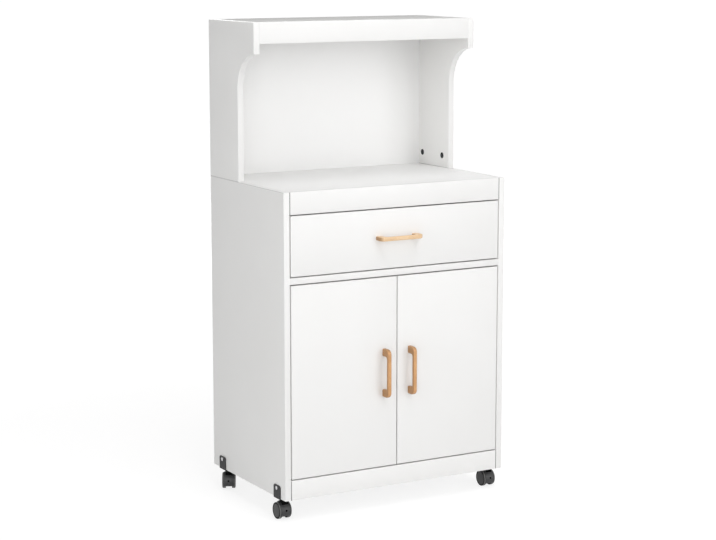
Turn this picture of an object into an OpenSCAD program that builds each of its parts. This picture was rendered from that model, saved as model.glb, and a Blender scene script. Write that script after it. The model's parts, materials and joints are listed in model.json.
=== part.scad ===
// Microwave stand: a white board cabinet with a hutch, one drawer, two doors and four twin-wheel casters.
// Millimetres, +Z up, the front faces -Y, +X is the right-hand side seen from the front.
// The origin lies on the floor, at the middle of the overall width and depth.

/* [Boards] */
// Thickness of the carcass boards, the fronts and the doors
board_t = 15; // [12:1:19]
// Thickness of the drawer's own boards
drawer_t = 12; // [10:1:16]
// Thickness of the back panels and the drawer bottom
panel_t = 3; // [2.5:0.5:6]
// Depth of the grooves that hold the thin panels
groove_d = 5; // [3:0.5:7]
// Play left in a groove, over its whole width
groove_play = 0.2; // [0.1:0.1:0.6]
// Distance from the rear edge to the groove of a back panel
back_inset = 10; // [5:1:25]

/* [Base cabinet] */
// Width across the outer faces of the side panels
body_w = 600; // [480:10:900]
// Depth of the side panels
body_d = 385; // [384:1:500]
// Height of the base side panels
base_h = 722; // [640:1:900]
// Height of the rail in front of the worktop
rail_h = 52; // [30:1:80]
// Height of the drawer front
drawer_front_h = 140; // [130:1:200]
// Height of the plinth rail
plinth_h = 47; // [30:1:90]
// Gap round the doors and the drawer front
front_gap = 3; // [1.5:0.1:4]
// How far the shelf stands back from the front plane
shelf_setback = 45; // [35:1:120]
// Play at each end of the shelf
shelf_play = 1; // [0.5:0.1:2]
// Height of the shelf's underside above the bottom panel
shelf_z = 215; // [120:1:320]

/* [Hutch] */
// Height of the hutch side panels
hutch_h = 377; // [260:1:520]
// Depth of the hutch at its top
hutch_d = 241; // [210:1:300]
// Depth of the hutch sides where they are narrow
hutch_neck_d = 154; // [145:1:200]
// Height of the straight front edge of each hutch side
hutch_brow_h = 73; // [50:1:110]
// Height of the hutch fascia
fascia_h = 49; // [35:1:80]

/* [Drawer box] */
// Height of the drawer sides
drawer_side_h = 100; // [90:1:110]
// Height of the drawer sides' lower edge above the divider
drawer_lift = 14; // [9:1:18]
// Height of the drawer bottom above the sides' lower edge
bottom_lift = 10; // [8:1:16]
// Room for a runner between the drawer side and the carcass side
runner_room = 12.5; // [12.5:0.1:14]
// Length of the runners and of the drawer box
runner_l = 350; // [250:10:350]
// Length of the drawer's travel
drawer_travel = 250; // [150:5:260]
// Thickness of the runners' sheet metal
runner_t = 1.2; // [1:0.1:1.5]
// Diameter of the runners' rollers
roller_d = 22; // [20:0.5:23]
// Width of the runners' rollers
roller_w = 6; // [5:0.5:6.5]
// Diameter of the pins that carry the rollers
roller_pin_d = 5; // [4:0.5:6]

/* [Handles] */
// Length of a handle
handle_l = 116; // [112:1:160]
// Distance between a handle's screws
handle_pitch = 96; // [90:1:98]
// Height of a handle above the face it is on
handle_h = 27; // [20:1:36]
// Width of a handle
handle_w = 10; // [8:0.5:16]
// Thickness of a handle's bar
handle_bar_t = 8; // [6:0.5:11]
// Length of a handle's foot
handle_foot_l = 18; // [15:0.5:22]
// Radius of a handle's outer corners
handle_outer_r = 13; // [6:0.5:16]
// Radius of a handle's inner corners
handle_inner_r = 7; // [3:0.5:9]
// Distance from a door's meeting edge to the middle of its handle
handle_inset = 33.5; // [20:0.5:60]
// Height of the drawer's handle above the middle of the drawer front
handle_rise = 3; // [-20:1:20]

/* [Door hinges] */
// Diameter of a hinge cup
cup_d = 35; // [34:0.5:36]
// Depth of a hinge cup in the door
cup_depth = 11.5; // [11.2:0.1:11.8]
// Distance from the door's edge to the middle of the cup
cup_edge = 21.5; // [21:0.5:23]
// Distance from a door's end to the middle of its hinge
hinge_end = 80; // [60:1:110]
// Distance of the arm's pin from the side panel
arm_pin_u = 19; // [18.8:0.1:19.2]
// Distance of the arm's pin behind the front plane
arm_pin_v = 9; // [8.9:0.1:9.2]
// Distance of the cup's pin from the side panel
cup_pin_u = 20.5; // [20.3:0.1:20.7]
// Distance of the cup's pin behind the front plane
cup_pin_v = 16; // [15.8:0.1:16.2]
// Diameter of the hinge pins
hinge_pin_d = 3; // [2.5:0.1:3.4]
// Radial clearance of the hinge pins
hinge_play = 0.05; // [0.03:0.01:0.1]
// Distance from the front plane to the screws of a mounting plate
plate_v = 52; // [48:1:60]

/* [Casters] */
// Height of the side panels' underside above the floor
caster_h = 53; // [52:0.5:58]
// Diameter of a wheel
wheel_d = 40; // [36:0.5:41]
// Width of one wheel
wheel_w = 8.5; // [7:0.5:13]
// Distance between the two wheels of a caster
wheel_gap = 15; // [13:0.5:18]
// Width of the hood's cover over the two wheels
cover_w = 26; // [22:0.5:27]
// Distance from the swivel pin to the axle
caster_trail = 6; // [4:0.5:11]
// Thickness of the hood's shell
hood_t = 1.6; // [1.2:0.1:2]
// Diameter of the axle
axle_d = 5; // [4:0.5:6]
// Diameter of the swivel pin
kingpin_d = 7; // [6:0.5:8]
// Distance from a side panel's outer face to the swivel pin
caster_inset_x = 15; // [13:0.5:20]
// Distance from the front edge to the swivel pin of a front caster
caster_front_inset = 40; // [32:1:70]
// Distance from the rear edge to the swivel pin of a rear caster
caster_rear_inset = 52; // [36:1:80]
// Turn of the rear left caster about its pin; the rear right one is its mirror image
rear_swivel = -29; // [-90:1:90]
// Width of a caster bracket
bracket_w = 34; // [30:1:40]
// Height of a caster bracket on the side panel
bracket_h = 31; // [26:1:45]
// Thickness of a caster bracket
bracket_t = 2; // [1.5:0.1:3]

/* [Fasteners] */
// Diameter of a cam lock
cam_d = 15; // [14:0.5:16]
// Depth of a cam lock
cam_h = 12; // [11:0.1:12.4]
// Distance from the joint to the middle of a cam lock
cam_reach = 30; // [24:1:36]
// Diameter of a dowel
dowel_d = 8; // [6:0.5:9]
// Length of a dowel
dowel_l = 30; // [24:1:36]
// Radial clearance of the fasteners in the boards
fastener_play = 0.1; // [0.05:0.05:0.2]

/* [Hidden] */
$fn = 48;
e = 1;                                              // how far a cut runs past the face it opens

// Planes of the cabinet
x_out = body_w / 2;
x_in = x_out - board_t;
y_front = -(body_d - handle_h) / 2;
y_back = y_front + body_d;
y_groove = y_back - back_inset - panel_t;
z_base = caster_h;
z_work = z_base + base_h;
z_top = z_work + hutch_h;
z_floor = z_base + plinth_h;
z_rail = z_work - rail_h;
z_divider = z_rail - 2 * front_gap - drawer_front_h;
door_h = z_divider - board_t - z_floor - 2 * front_gap;
z_door = z_floor + front_gap;
y_brow = y_back - hutch_d;
y_neck = y_back - hutch_neck_d;
brow_r = hutch_d - hutch_neck_d;
z_brow = z_top - hutch_brow_h;
panel_w = 2 * (x_in + groove_d - groove_play);

// Drawer box, its runners and rollers
box_w = 2 * (x_in - runner_room);
z_box = z_divider + drawer_lift;
y_box = y_front + board_t;
z_box_floor = z_box + bottom_lift;
roller_play = 0.3;                                  // kept between a roller and its track
roller_run = 0.05;                                  // radial clearance of a roller on its pin
track_low = -3.8;                                   // lower track, from the box's lower edge
z_track = z_box + track_low;
z_channel = z_track + roller_d + 2 * roller_play;   // underside of the cabinet runner's upper flange
z_rider = z_channel + runner_t + 1.5;               // underside of the drawer runner's flange
roller_end = 16;                                    // from a runner's end to its roller
roller_notch = 36;                                  // upper flange cut back over the front roller
screw_low = 8;                                      // runner screws, above the box's lower edge
runner_screw_y = [60, 0.55 * runner_l, runner_l - 60];
drawer_side_screw_z = [40, 78];
drawer_cam_z = [30, 72];
drawer_cam_reach = 24;
drawer_cam_h = 9.5;
drawer_cam_d = 12;
stop_h = 4;                                         // the stop that ends the drawer's travel
stop_t = 2;

// Hinges
hinge_z = [z_door + hinge_end, z_door + door_h - hinge_end];
cup_u = front_gap + cup_edge;
arm_w = 8;                                          // height of the arm's tip
link_t = 1.5;
side_play = 0.3;                                    // between an arm, a link and a cheek
cup_wall = 1;
flange_t = 0.8;
flange_w = 1.5;                                     // the cup's flange round its bore
ear_r = 6;                                          // half the width of a cup's screw ears
crank_v = 24;
arm_u = 5;
arm_l = 56;
plate_screw_pitch = 32;
cup_screw_pitch = 48;
cup_screw_shift = 6;

// Casters
wheel_r = wheel_d / 2;
hood_gap = 1.2;                                     // between a wheel and the hood over it
hood_r = wheel_r + hood_gap + hood_t;
web_w = wheel_gap - 2;                              // the hood's web, 1 mm clear of each wheel
pair_w = wheel_gap + 2 * wheel_w;
z_leg = z_base - bracket_t;
kingpin_l = 17;
swivel_play = 0.3;
turn_play = 0.05;
caster_x = x_out - caster_inset_x;
caster_y = [y_front + caster_front_inset, y_back - caster_rear_inset];
bracket_screw_z = z_base + bracket_h - 7;
leg_past = 14;                                      // the bracket's leg runs this far past the swivel pin
leg_screw_y = 12;

// Joints between boards: underside of the level board, cam positions, dowel positions
joint_in = 60;
dowel_step = 32;
base_cams = [y_front + joint_in, y_back - joint_in];
base_dowels = [base_cams[0] + dowel_step, base_cams[1] - dowel_step];
roof_cams = [y_brow + joint_in, y_back - joint_in];
roof_dowels = [roof_cams[0] + dowel_step, roof_cams[1] - dowel_step];
base_levels = [z_floor - board_t, z_divider - board_t, z_work - board_t];
roof_level = z_top - board_t;
foot_cams = [y_back - 30, y_back - 124];            // hutch side on base side, as the photographed cams lie
foot_dowels = [y_back - 76, y_back - 106];
bolt_d = 6;
bolt_root_d = 5;
bolt_root_l = 10;
bolt_head_l = 3;
bolt_neck_d = 3.5;
bolt_neck_l = 4;
bolt_play = 0.6;
cam_slot_past = 2;                                  // how far a cam's slot runs past its middle
cam_play = 0.2;
end_play = 0.5;                                     // left beyond the end of a dowel, pin or screw
screw_d = 3.5;
screw_bite = 8;                                     // length of a short screw inside the wood
screw_head = [6, 1.4];                              // diameter and height of a head
wide_head = [7, 1.8];
handle_head = [8, 2.4];
bracket_head = [9, 2];
slot_w = 0.8;
rail_dowels = [12, 12];                             // from a rail's lower and upper edges

white = "#f4f3ef";
drawer_white = "#efeeea";
beech = "#dcae78";
steel = "#b9bcc0";
cream = "#ecebe4";
black = "#2b2c2e";

// ---- shared shapes ----

module box_between(a, b) translate(a) cube(b - a);

module both_sides() {
    children();
    mirror([1, 0, 0]) children();
}

// Turns a shape that stands on +Z so that it points along +X or +Y
module along_x() rotate([0, 90, 0]) children();
module along_y() rotate([-90, 0, 0]) children();

// Screw with its head's seat at z = 0 and its shank below
module pan_screw(d, l, head) difference() {
    union() {
        translate([0, 0, -l]) cylinder(d = d, h = l);
        cylinder(d = head[0], h = 0.6 * head[1]);
        translate([0, 0, 0.6 * head[1]]) cylinder(d1 = head[0], d2 = 0.7 * head[0], h = 0.4 * head[1]);
    }
    for (a = [0, 90]) rotate([0, 0, a])
        translate([-0.3 * head[0], -slot_w / 2, 0.4 * head[1]]) cube([0.6 * head[0], slot_w, head[1]]);
}

// Cam lock with its open face at z = 0, its body below and its bolt coming in from -X
module cam_lock(d, h, mid) difference() {
    translate([0, 0, -h]) cylinder(d = d, h = h);
    translate([-d, 0, -mid]) along_x() cylinder(d = bolt_d + bolt_play, h = d + cam_slot_past);
    for (a = [45, 135]) rotate([0, 0, a]) translate([-0.36 * d, -0.6, -1.6]) cube([0.72 * d, 1.2, 3]);
}

// Cam bolt with the joint at z = 0: its root below, in one board, and its head in the cam above
module cam_bolt(reach, root_l) {
    translate([0, 0, -root_l]) cylinder(d = bolt_root_d, h = root_l);
    shank_l = reach + 1 - bolt_head_l - bolt_neck_l;
    cylinder(d = bolt_d, h = shank_l);
    translate([0, 0, shank_l]) cylinder(d = bolt_neck_d, h = bolt_neck_l);
    translate([0, 0, shank_l + bolt_neck_l]) cylinder(d = bolt_d, h = bolt_head_l);
}

// Bore for a fastener, opened from z = 0 up
module bore(d, l) translate([0, 0, -e]) cylinder(d = d + 2 * fastener_play, h = l + e);
module through_bore(d, l) translate([0, 0, -e]) cylinder(d = d + 2 * fastener_play, h = l + 2 * e);

module bolt_bore(reach) translate([0, 0, -e]) cylinder(d = bolt_d + bolt_play, h = reach + e);
module root_bore(root_l) mirror([0, 0, 1]) bore(bolt_root_d, root_l + end_play);
module dowel_bore(l) bore(dowel_d, l + end_play);

dowel_side_l = 10;                                  // share of a dowel that sits in a side panel
dowel_board_l = dowel_l - dowel_side_l;

// Bores in the right side panel for one level board
module side_joint_bores(z, cams, dows) {
    for (y = cams) translate([x_in, y, z + board_t / 2]) rotate([0, -90, 0]) root_bore(bolt_root_l);
    for (y = dows) translate([x_in, y, z + board_t / 2]) along_x() dowel_bore(dowel_side_l);
}

// Bores in the right-hand end of one level board
module board_joint_bores(z, cams, dows) {
    for (y = cams) {
        translate([x_in, y, z + board_t / 2]) rotate([0, -90, 0]) bolt_bore(cam_reach);
        translate([x_in - cam_reach, y, z]) bore(cam_d, cam_h + cam_play);
    }
    for (y = dows) translate([x_in, y, z + board_t / 2]) rotate([0, -90, 0]) dowel_bore(dowel_board_l);
}

// Level board between the side panels, bored at both ends
module level_board(z, y0, y1, cams, dows) difference() {
    box_between([-x_in, y0, z], [x_in, y1, z + board_t]);
    both_sides() board_joint_bores(z, cams, dows);
}

// Upright rail between the side panels, dowelled at both ends
function rail_dowel_z(z0, h) = [z0 + rail_dowels[0], z0 + h - rail_dowels[1]];
module upright_rail(y0, z0, h) difference() {
    box_between([-x_in, y0, z0], [x_in, y0 + board_t, z0 + h]);
    both_sides() for (z = rail_dowel_z(z0, h))
        translate([x_in, y0 + board_t / 2, z]) rotate([0, -90, 0]) dowel_bore(dowel_board_l);
}
module rail_side_bores(y0, z0, h) for (z = rail_dowel_z(z0, h))
    translate([x_in, y0 + board_t / 2, z]) along_x() dowel_bore(dowel_side_l);

module back_groove(z0, z1) box_between(
    [x_in - e, y_groove - groove_play / 2, z0], [x_in + groove_d, y_groove + panel_t + groove_play / 2, z1]);

// ---- carcass ----

shelf_pin_d = 5;
shelf_pin_in = 8;
shelf_pin_out = 8;
shelf_pins_y = [y_front + shelf_setback + 30, y_groove - 40];
z_shelf = z_floor + shelf_z;

module base_side() difference() {
    box_between([x_in, y_front, z_base], [x_out, y_back, z_work]);
    back_groove(z_base - e, z_work + e);
    for (z = base_levels) side_joint_bores(z, base_cams, base_dowels);
    rail_side_bores(y_front, z_rail, rail_h);
    rail_side_bores(y_front, z_base, plinth_h);
    for (y = foot_cams) translate([x_in + board_t / 2, y, z_work]) root_bore(bolt_root_l);
    for (y = foot_dowels) translate([x_in + board_t / 2, y, z_work]) mirror([0, 0, 1])
        dowel_bore(dowel_l / 2);
    for (y = shelf_pins_y) translate([x_in, y, z_shelf - shelf_pin_d / 2]) along_x()
        bore(shelf_pin_d, shelf_pin_in + end_play);
    for (y = runner_screw_y) translate([x_in, y_box + y, z_box + screw_low]) along_x()
        bore(screw_d, screw_bite + end_play);
    for (z = hinge_z, s = [-1, 1]) translate([x_in, y_front + plate_v, z + s * plate_screw_pitch / 2])
        along_x() bore(screw_d, screw_bite + end_play);
    for (y = caster_y) {
        translate([x_out, y, bracket_screw_z]) rotate([0, -90, 0]) bore(screw_d, screw_bite + end_play);
        translate([x_in + board_t / 2, y + leg_screw_y, z_base]) bore(screw_d, screw_bite + end_play);
    }
}

// Side of the hutch: deep at the top, narrow below, with a quarter-circle between them
module hutch_side() difference() {
    box_between([x_in, y_brow, z_work], [x_out, y_back, z_top]);
    box_between([x_in - e, y_brow - e, z_work - e], [x_out + e, y_neck, z_brow - brow_r]);
    translate([x_in - e, y_brow, z_brow - brow_r]) along_x()
        cylinder(r = brow_r, h = board_t + 2 * e, $fn = 96);
    box_between([x_in - e, y_brow - e, z_brow - brow_r - e], [x_out + e, y_brow, z_brow]);
    back_groove(z_work - e, z_top + e);
    side_joint_bores(roof_level, roof_cams, roof_dowels);
    rail_side_bores(y_brow, z_top - fascia_h, fascia_h);
    for (y = foot_cams) translate([x_in + board_t / 2, y, z_work]) {
        bolt_bore(cam_reach);
        translate([-board_t / 2, 0, cam_reach]) along_x() bore(cam_d, cam_h + cam_play);
    }
    for (y = foot_dowels) translate([x_in + board_t / 2, y, z_work]) dowel_bore(dowel_l / 2);
}

module left_side_panel() color(white) mirror([1, 0, 0]) base_side();
module right_side_panel() color(white) base_side();
module hutch_left_side() color(white) mirror([1, 0, 0]) hutch_side();
module hutch_right_side() color(white) hutch_side();

module worktop() color(white)
    level_board(z_work - board_t, y_front + board_t, y_back, base_cams, base_dowels);
module divider_panel() color(white)
    level_board(z_divider - board_t, y_front, y_groove, base_cams, base_dowels);
module bottom_panel() color(white)
    level_board(z_floor - board_t, y_front + board_t, y_groove, base_cams, base_dowels);
module hutch_top() color(white)
    level_board(z_top - board_t, y_brow + board_t, y_back, roof_cams, roof_dowels);

module worktop_rail() color(white) upright_rail(y_front, z_rail, rail_h);
module plinth_rail() color(white) upright_rail(y_front, z_base, plinth_h);
module hutch_fascia() color(white) upright_rail(y_brow, z_top - fascia_h, fascia_h);

module cupboard_shelf() color(white) box_between(
    [-x_in + shelf_play, y_front + shelf_setback, z_shelf],
    [x_in - shelf_play, y_groove - shelf_play, z_shelf + board_t]);

module shelf_pins() color(steel) both_sides() for (y = shelf_pins_y)
    translate([x_in - shelf_pin_out, y, z_shelf - shelf_pin_d / 2]) along_x()
        cylinder(d = shelf_pin_d, h = shelf_pin_out + shelf_pin_in);

module back_board(z0, z1) box_between(
    [-panel_w / 2, y_groove, z0], [panel_w / 2, y_groove + panel_t, z1]);
module cabinet_back() color(white) back_board(z_base, z_work - board_t);
module hutch_back() color(white) back_board(z_work, z_top - board_t);

// ---- board fasteners ----

module cam_locks() color("dimgray") both_sides() {
    for (z = base_levels, y = base_cams) level_cam(z, y);
    for (y = roof_cams) level_cam(roof_level, y);
    for (y = foot_cams) translate([x_in, y, z_work + cam_reach]) rotate([0, -90, 0])
        cam_lock(cam_d, cam_h, board_t / 2);
}
module level_cam(z, y) translate([x_in - cam_reach, y, z]) rotate([180, 0, 180])
    cam_lock(cam_d, cam_h, board_t / 2);

module cam_bolts() color(steel) both_sides() {
    for (z = base_levels, y = base_cams) level_bolt(z, y);
    for (y = roof_cams) level_bolt(roof_level, y);
    for (y = foot_cams) translate([x_in + board_t / 2, y, z_work]) cam_bolt(cam_reach, bolt_root_l);
}
module level_bolt(z, y) translate([x_in, y, z + board_t / 2]) rotate([0, -90, 0])
    cam_bolt(cam_reach, bolt_root_l);

module dowels() color(beech) both_sides() {
    for (z = base_levels, y = base_dowels) level_dowel(y, z + board_t / 2);
    for (y = roof_dowels) level_dowel(y, roof_level + board_t / 2);
    for (z = rail_dowel_z(z_rail, rail_h)) level_dowel(y_front + board_t / 2, z);
    for (z = rail_dowel_z(z_base, plinth_h)) level_dowel(y_front + board_t / 2, z);
    for (z = rail_dowel_z(z_top - fascia_h, fascia_h)) level_dowel(y_brow + board_t / 2, z);
    for (y = foot_dowels) translate([x_in + board_t / 2, y, z_work - dowel_l / 2])
        cylinder(d = dowel_d, h = dowel_l);
}
module level_dowel(y, z) translate([x_in - dowel_board_l, y, z]) along_x()
    cylinder(d = dowel_d, h = dowel_l);

// ---- runners of the drawer ----

lower_flange_w = 9.5;
upper_flange_w = 7;
rider_w = 9.5;
rider_foot_w = 10;
flange_start = 4;                                   // the lower flange starts behind the runner's front end
roller_side = 0.9;                                  // between a roller's face and the sheet beside it
pin_end = 0.4;                                      // between a roller's face and its pin's head
pin_head_t = 1;
pin_head_d = roller_pin_d + 3;
x_web = x_in - runner_t;
x_box = box_w / 2;
x_leg = x_box + runner_t;
z_front_roller = z_rider - roller_play - roller_d / 2;
z_rear_roller = z_track + roller_play + roller_d / 2;
y_front_roller = y_box + roller_end;
y_rear_roller = y_box + runner_l - roller_end;
y_stop = y_rear_roller - drawer_travel - roller_d / 2 - roller_play;

// Pin of a roller with its head, standing on the sheet at z = 0
module roller_pin() {
    translate([0, 0, -runner_t / 2])
        cylinder(d = roller_pin_d, h = runner_t / 2 + roller_side + roller_w + pin_end);
    translate([0, 0, roller_side + roller_w + pin_end]) cylinder(d = pin_head_d, h = pin_head_t);
}

// Cabinet runner on the right: a channel with a roller at its front and a stop for the drawer's roller
module cabinet_runner() difference() {
    union() {
        box_between([x_web, y_box, z_track - runner_t], [x_in, y_box + runner_l, z_channel + runner_t]);
        box_between([x_web - lower_flange_w, y_box + flange_start, z_track - runner_t],
            [x_in, y_box + runner_l, z_track]);
        box_between([x_web - upper_flange_w, y_box + roller_notch, z_channel],
            [x_in, y_box + runner_l, z_channel + runner_t]);
        box_between([x_web - lower_flange_w, y_stop - stop_t, z_track - runner_t],
            [x_web, y_stop, z_track + stop_h]);
        translate([x_web, y_front_roller, z_front_roller]) rotate([0, -90, 0]) roller_pin();
    }
    for (y = runner_screw_y) translate([x_web, y_box + y, z_box + screw_low]) along_x()
        through_bore(screw_d, runner_t);
}
module left_cabinet_runner() color(cream) mirror([1, 0, 0]) cabinet_runner();
module right_cabinet_runner() color(cream) cabinet_runner();

// Drawer runner on the right: it carries the drawer side's lower edge and has a roller at its rear
module drawer_runner() difference() {
    union() {
        box_between([x_box, y_box, z_box - runner_t], [x_leg, y_box + runner_l, z_rider + runner_t]);
        box_between([x_box - rider_foot_w, y_box, z_box - runner_t], [x_leg, y_box + runner_l, z_box]);
        box_between([x_box, y_box, z_rider], [x_box + rider_w, y_box + runner_l, z_rider + runner_t]);
        translate([x_leg, y_rear_roller, z_rear_roller]) along_x() roller_pin();
    }
    for (y = runner_screw_y) translate([x_box, y_box + y, z_box + screw_low]) along_x()
        through_bore(screw_d, runner_t);
}
module left_drawer_runner() color(cream) mirror([1, 0, 0]) drawer_runner();
module right_drawer_runner() color(cream) drawer_runner();

module roller() difference() {
    cylinder(d = roller_d, h = roller_w);
    translate([0, 0, -e]) cylinder(d = roller_pin_d + 2 * roller_run, h = roller_w + 2 * e);
}
module cabinet_rollers() color("white") both_sides()
    translate([x_web - roller_side, y_front_roller, z_front_roller]) rotate([0, -90, 0]) roller();
module drawer_rollers() color("white") both_sides()
    translate([x_leg + roller_side, y_rear_roller, z_rear_roller]) along_x() roller();

// ---- drawer ----

front_w = 2 * (x_in - front_gap);
z_front = z_divider + front_gap;
z_drawer_handle = z_front + drawer_front_h / 2 + handle_rise;
box_top = z_box + drawer_side_h;
y_drawer_back = y_box + runner_l - drawer_t;
drawer_bite = 7;                                    // length of a runner screw inside a drawer side
side_screw_l = 30;
handle_screw_d = 4;
handle_bite = 9;                                    // length of a handle screw inside the wood

module handle_screw_bores() for (s = [-1, 1]) translate([s * handle_pitch / 2, 0, 0]) along_y()
    through_bore(handle_screw_d, board_t);

module drawer_front() color(drawer_white) difference() {
    box_between([-front_w / 2, y_front, z_front],
        [front_w / 2, y_front + board_t, z_front + drawer_front_h]);
    translate([0, y_front, z_drawer_handle]) handle_screw_bores();
    box_between([-x_box + drawer_t - groove_d, y_box - groove_d, z_box_floor - groove_play / 2],
        [x_box - drawer_t + groove_d, y_box + e, z_box_floor + panel_t + groove_play / 2]);
    both_sides() for (z = drawer_cam_z) translate([x_box - drawer_t / 2, y_box, z_box + z])
        along_y() root_bore(bolt_root_l);
}

module drawer_side() difference() {
    box_between([x_box - drawer_t, y_box, z_box], [x_box, y_box + runner_l, box_top]);
    box_between([x_box - drawer_t - e, y_box - e, z_box_floor - groove_play / 2],
        [x_box - drawer_t + groove_d, y_box + runner_l + e, z_box_floor + panel_t + groove_play / 2]);
    for (z = drawer_cam_z) {
        translate([x_box - drawer_t / 2, y_box, z_box + z]) along_y() bolt_bore(drawer_cam_reach);
        translate([x_box - drawer_t, y_box + drawer_cam_reach, z_box + z]) along_x()
            bore(drawer_cam_d, drawer_cam_h + cam_play);
    }
    for (z = drawer_side_screw_z)
        translate([x_box, y_drawer_back + drawer_t / 2, z_box + z]) rotate([0, -90, 0]) {
            through_bore(screw_d, drawer_t);
            bore(wide_head[0], wide_head[1] + end_play);
        }
    for (y = runner_screw_y) translate([x_box, y_box + y, z_box + screw_low]) rotate([0, -90, 0])
        bore(screw_d, drawer_bite + end_play);
}
module drawer_left_side() color(drawer_white) mirror([1, 0, 0]) drawer_side();
module drawer_right_side() color(drawer_white) drawer_side();

module drawer_back() color(drawer_white) difference() {
    box_between([-x_box + drawer_t, y_drawer_back, z_box_floor + panel_t + groove_play / 2],
        [x_box - drawer_t, y_box + runner_l, box_top]);
    both_sides() for (z = drawer_side_screw_z)
        translate([x_box - drawer_t, y_drawer_back + drawer_t / 2, z_box + z]) rotate([0, -90, 0])
            bore(screw_d, side_screw_l - drawer_t + end_play);
}

module drawer_bottom() color(drawer_white) box_between(
    [-x_box + drawer_t - groove_d + groove_play, y_box - groove_d + groove_play, z_box_floor],
    [x_box - drawer_t + groove_d - groove_play, y_box + runner_l, z_box_floor + panel_t]);

module drawer_cam_locks() color("dimgray") both_sides() for (z = drawer_cam_z)
    translate([x_box - drawer_t, y_box + drawer_cam_reach, z_box + z]) rotate([0, -90, 0]) rotate([0, 0, 90])
        cam_lock(drawer_cam_d, drawer_cam_h, drawer_t / 2);

module drawer_cam_bolts() color(steel) both_sides() for (z = drawer_cam_z)
    translate([x_box - drawer_t / 2, y_box, z_box + z]) along_y() cam_bolt(drawer_cam_reach, bolt_root_l);

// Two screws through a front, their heads on its rear face
module handle_screws() for (s = [-1, 1]) translate([s * handle_pitch / 2, board_t, 0]) along_y()
    pan_screw(handle_screw_d, board_t + handle_bite, handle_head);

module drawer_screws() color(steel) {
    translate([0, y_front, z_drawer_handle]) handle_screws();
    both_sides() {
        for (z = drawer_side_screw_z)
            translate([x_box - wide_head[1] - end_play, y_drawer_back + drawer_t / 2, z_box + z]) along_x()
                pan_screw(screw_d, side_screw_l - wide_head[1] - end_play, wide_head);
        for (y = runner_screw_y) translate([x_leg, y_box + y, z_box + screw_low]) along_x()
            pan_screw(screw_d, runner_t + drawer_bite, screw_head);
    }
}

// ---- handles ----

module handle_outline(l, h, r) {
    translate([-l / 2, 0]) square([l, h - r]);
    translate([-l / 2 + r, 0]) square([l - 2 * r, h]);
    for (s = [-1, 1]) translate([s * (l / 2 - r), h - r]) circle(r = r, $fn = 64);
}

// Bow handle on the plane y = 0, standing out along -Y, its length along X
module bow_handle() difference() {
    translate([0, 0, -handle_w / 2]) linear_extrude(handle_w) mirror([0, 1]) difference() {
        handle_outline(handle_l, handle_h, handle_outer_r);
        translate([0, -e])
            handle_outline(handle_l - 2 * handle_foot_l, handle_h - handle_bar_t + e, handle_inner_r);
    }
    for (s = [-1, 1]) translate([s * handle_pitch / 2, 0, 0]) rotate([90, 0, 0])
        bore(handle_screw_d, handle_bite + end_play);
}

x_door_handle = front_gap / 2 + handle_inset;
z_door_mid = z_door + door_h / 2;
module at_door_handle(side)
    translate([side * x_door_handle, y_front, z_door_mid]) rotate([0, 90, 0]) children();

module drawer_handle() color(beech) translate([0, y_front, z_drawer_handle]) bow_handle();
module left_door_handle() color(beech) at_door_handle(-1) bow_handle();
module right_door_handle() color(beech) at_door_handle(1) bow_handle();
module left_handle_screws() color(steel) at_door_handle(-1) handle_screws();
module right_handle_screws() color(steel) at_door_handle(1) handle_screws();

// ---- doors and hinges ----

// Places the hinge shapes, drawn from the left side panel's inner face and the front plane
module at_left_hinges() for (z = hinge_z) translate([-x_in, y_front, z]) children();

module cup_bores() {
    translate([cup_u, board_t, 0]) rotate([90, 0, 0]) bore(cup_d, cup_depth + fastener_play);
    for (s = [-1, 1]) translate([cup_u + cup_screw_shift, board_t, s * cup_screw_pitch / 2])
        rotate([90, 0, 0]) bore(screw_d, screw_bite + end_play);
}

module left_leaf() difference() {
    box_between([-x_in + front_gap, y_front, z_door], [-front_gap / 2, y_front + board_t, z_door + door_h]);
    at_left_hinges() cup_bores();
    at_door_handle(-1) handle_screw_bores();
}
module left_door() color(white) left_leaf();
module right_door() color(white) mirror([1, 0, 0]) left_leaf();

cheek_w = 1.5;
cheek_r = 3.2;
cheek_in = arm_w / 2 + 2 * side_play + link_t;      // inner face of a cheek, from the hinge's middle

// Cup with its flange and the two cheeks that carry the cup's pin
module hinge_cup() {
    difference() {
        union() {
            translate([cup_u, board_t - cup_depth, 0]) along_y() cylinder(d = cup_d, h = cup_depth);
            translate([cup_u, board_t, 0]) along_y() cylinder(d = cup_d + 2 * flange_w, h = flange_t);
            box_between([cup_u + cup_screw_shift - ear_r, board_t, -cup_screw_pitch / 2 - ear_r],
                [cup_u + cup_screw_shift + ear_r, board_t + flange_t, cup_screw_pitch / 2 + ear_r]);
        }
        translate([cup_u, board_t - cup_depth + cup_wall, 0]) along_y()
            cylinder(d = cup_d - 2 * cup_wall, h = cup_depth + flange_t + e);
        for (s = [-1, 1]) translate([cup_u + cup_screw_shift, board_t, s * cup_screw_pitch / 2]) along_y()
            through_bore(screw_d, flange_t);
    }
    for (s = [-1, 1]) translate([0, 0, s * (cheek_in + cheek_w / 2)]) difference() {
        union() {
            box_between([cup_pin_u - cheek_r, board_t - cup_depth + cup_wall / 2, -cheek_w / 2],
                [cup_pin_u + cheek_r, cup_pin_v, cheek_w / 2]);
            translate([cup_pin_u, cup_pin_v, 0]) cylinder(r = cheek_r, h = cheek_w, center = true);
        }
        translate([cup_pin_u, cup_pin_v, 0])
            cylinder(d = hinge_pin_d + 2 * hinge_play, h = cheek_w + 2 * e, center = true);
    }
    for (s = [-1, 1]) translate([cup_u + cup_screw_shift, board_t + flange_t, s * cup_screw_pitch / 2])
        along_y() pan_screw(screw_d, flange_t + screw_bite, screw_head);
}
module left_hinge_cups() color(steel) at_left_hinges() hinge_cup();
module right_hinge_cups() color(steel) mirror([1, 0, 0]) at_left_hinges() hinge_cup();

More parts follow.
